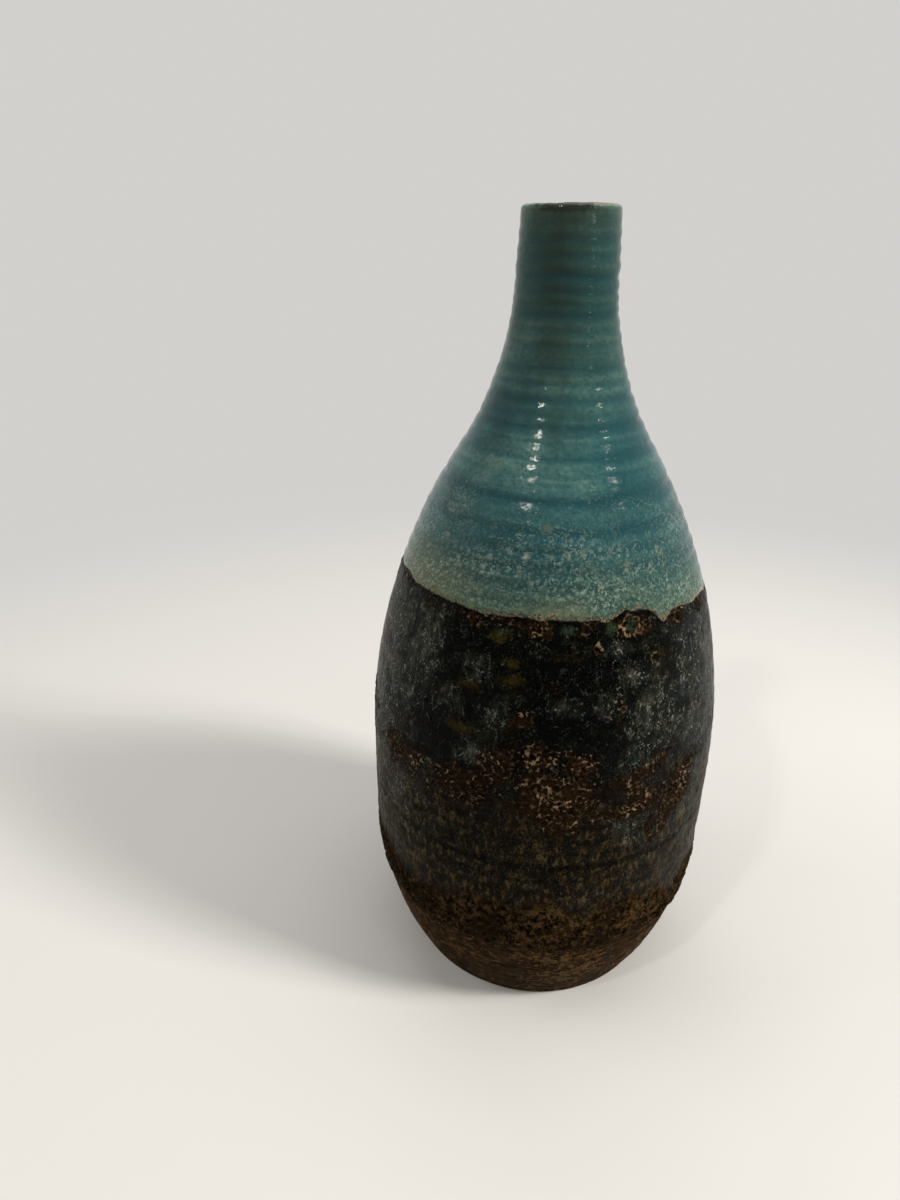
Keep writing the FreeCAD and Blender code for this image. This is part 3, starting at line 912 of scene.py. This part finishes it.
    # painted shade in the burst bubbles and in the bowls
    bursts = (1 - step(bubble, 0.12, 0.36)) * rough
    pitShadeMask = paint.larger(step(attribute("pitShade"), 0.3, 0.8), bursts)
    lay(pitShadeMask * 0.85, "pitShade")
    roughness = rough * 0.35 + low * 0.15 + milkAndSheen * 0.2 + noise(80, 2, seed=14) * 0.14 + 0.1
    relief = fine * 0.6 + coarse * 0.6 + blotch * 1.1 + milkAndSheen * 0.3
    relief = relief + rough * (crumb * 1.8 + paleRim * 0.6) - pitShadeMask * 1.2
    return paint.finish(roughness, relief, dark)


# Build and hand over to the frame

def handOver(piece, material, node):
    piece.data.materials.append(material)
    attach(piece, "root")
    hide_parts(node)


handOver(clayBody(), clayPaint(), "stoneware_body")
handOver(turquoiseCoat(), turquoisePaint(), "turquoise_glaze")
handOver(darkGlazeCoat(), craterPaint("dark_crater_glaze"), "dark_glaze")
handOver(crustCoat(), craterPaint("rust_crater_crust"), "rust_crust")
print("vase built")


# Floor, light and camera

studio = {
    # metres; the floor fades into the backdrop between two distances
    "floorSize": 14.0, "fadeFrom": 0.3, "fadeTo": 0.85, "aimHeight": 0.18,
    # the floor as seen and as it lights the foot, then backdrop and fill
    "floorTone": (0.68, 0.67, 0.65, 1.0), "bounceTone": (0.30, 0.28, 0.26, 1.0),
    "backTone": (0.64, 0.63, 0.61, 1.0), "fillTone": (1.0, 0.99, 0.98, 1.0), "fill": 0.2,
    # lamps: place in metres, size, watts, colour, whether glazes show it as a glint
    "lamps": {
        "keyRight": ((1.45, -0.35, 1.35), 0.4, 32.0, (1.0, 0.96, 0.9), False),
        "glintRight": ((1.45, -0.35, 1.35), 0.05, 3.4, (1.0, 0.93, 0.82), True),
        "glintLeft": ((-0.72, -1.15, 1.75), 0.11, 6.0, (1.0, 0.93, 0.82), True),
        "glintNeck": ((1.22, -0.9, 0.42), 0.13, 0.36, (0.85, 0.93, 1.0), True),
        "softTop": ((0.2, 0.3, 2.2), 1.6, 14.0, (1.0, 0.99, 0.97), True),
        "softLeft": ((-1.8, -0.1, 0.9), 1.2, 13.0, (1.0, 0.98, 0.95), False),
        "softBack": ((-0.9, 1.8, 1.2), 1.2, 7.0, (0.98, 0.98, 1.0), False),
    },
}
# metres and degrees; the focal length is a share of the picture's height
view = {
    "place": (0.0, -0.339, 0.3376), "pitch": 24.63, "roll": 0.414, "yaw": -7.656,
    "focalShare": 790 / 1200,
}


def pose(forward, rightHand, upward, place):
    # a camera or lamp looks down its own -Z
    turn = Matrix((rightHand, upward, -forward)).transposed().to_4x4()
    turn.translation = place
    return turn


def floorMaterial():
    # a pale matt floor with the object's shadow that fades into the plain backdrop further out
    paint = Paint("pale_floor")
    seen = paint.seen()
    colour = paint.mix(seen, studio["bounceTone"], studio["floorTone"])
    paint.tree.links.new(colour.socket, paint.shader.inputs["Base Color"])
    paint.shader.inputs["Roughness"].default_value = 0.8
    paint.shader.inputs["Specular IOR Level"].default_value = 0.1
    reach = paint.node("ShaderNodeVectorMath", {"operation": "LENGTH"}, {0: paint.place}, "Value")
    glow = paint.node("ShaderNodeEmission", {}, {"Color": studio["backTone"]})
    share = paint.step(reach, studio["fadeFrom"], studio["fadeTo"]) * seen
    plain = Wire(paint, paint.shader.outputs[0])
    blend = paint.node("ShaderNodeMixShader", {}, {0: share, 1: plain, 2: glow})
    paint.tree.links.new(blend.socket, paint.tree.nodes["Material Output"].inputs["Surface"])
    return paint.material


def addFloor():
    half = studio["floorSize"] / 2
    mesh = bpy.data.meshes.new("floor")
    corners = [(-half, -half, 0), (half, -half, 0), (half, half, 0), (-half, half, 0)]
    mesh.from_pydata(corners, [], [(0, 1, 2, 3)])
    mesh.materials.append(floorMaterial())
    floor = addObject("floor", mesh)


def addLamps():
    for name, (place, size, watts, colour, glints) in studio["lamps"].items():
        data = bpy.data.lights.new(name, "AREA")
        data.size, data.energy, data.color = size, watts, colour
        lamp = addObject(name, data)
        aim = (Vector((0, 0, studio["aimHeight"])) - Vector(place)).normalized()
        side = aim.cross(Vector((0, 0, 1))).normalized()
        lamp.matrix_world = pose(aim, side, side.cross(aim), Vector(place))
        lamp.visible_glossy = glints


def addWorld():
    # the camera and the glazes' reflections see a pale backdrop, and the rest gets the weaker fill
    world = bpy.data.worlds.new("studio")
    world.use_nodes = True
    graph = Graph(world.node_tree)
    fill = graph.node("ShaderNodeBackground", {}, {"Color": studio["fillTone"], "Strength": studio["fill"]})
    back = graph.node("ShaderNodeBackground", {}, {"Color": studio["backTone"]})
    blend = graph.node("ShaderNodeMixShader", {}, {0: graph.seen(), 1: fill, 2: back})
    graph.tree.links.new(blend.socket, graph.tree.nodes["World Output"].inputs["Surface"])
    bpy.context.scene.world = world


def addCamera():
    pitch, roll, yaw = (math.radians(view[label]) for label in ("pitch", "roll", "yaw"))
    forward = Vector((math.sin(yaw) * math.cos(pitch), math.cos(yaw) * math.cos(pitch), -math.sin(pitch)))
    side = Vector((math.cos(yaw), -math.sin(yaw), 0))
    rise = side.cross(forward)
    rightHand = math.cos(roll) * side + math.sin(roll) * rise
    upward = -math.sin(roll) * side + math.cos(roll) * rise
    data = bpy.data.cameras.new("view")
    data.lens = view["focalShare"] * data.sensor_width
    data.clip_start = 0.01
    camera = addObject("view", data)
    camera.matrix_world = pose(forward, rightHand, upward, Vector(view["place"]))
    bpy.context.scene.camera = camera


addFloor()
addLamps()
addWorld()
addCamera()
bpy.context.scene.view_settings.view_transform = "Standard"
print("studio ready")
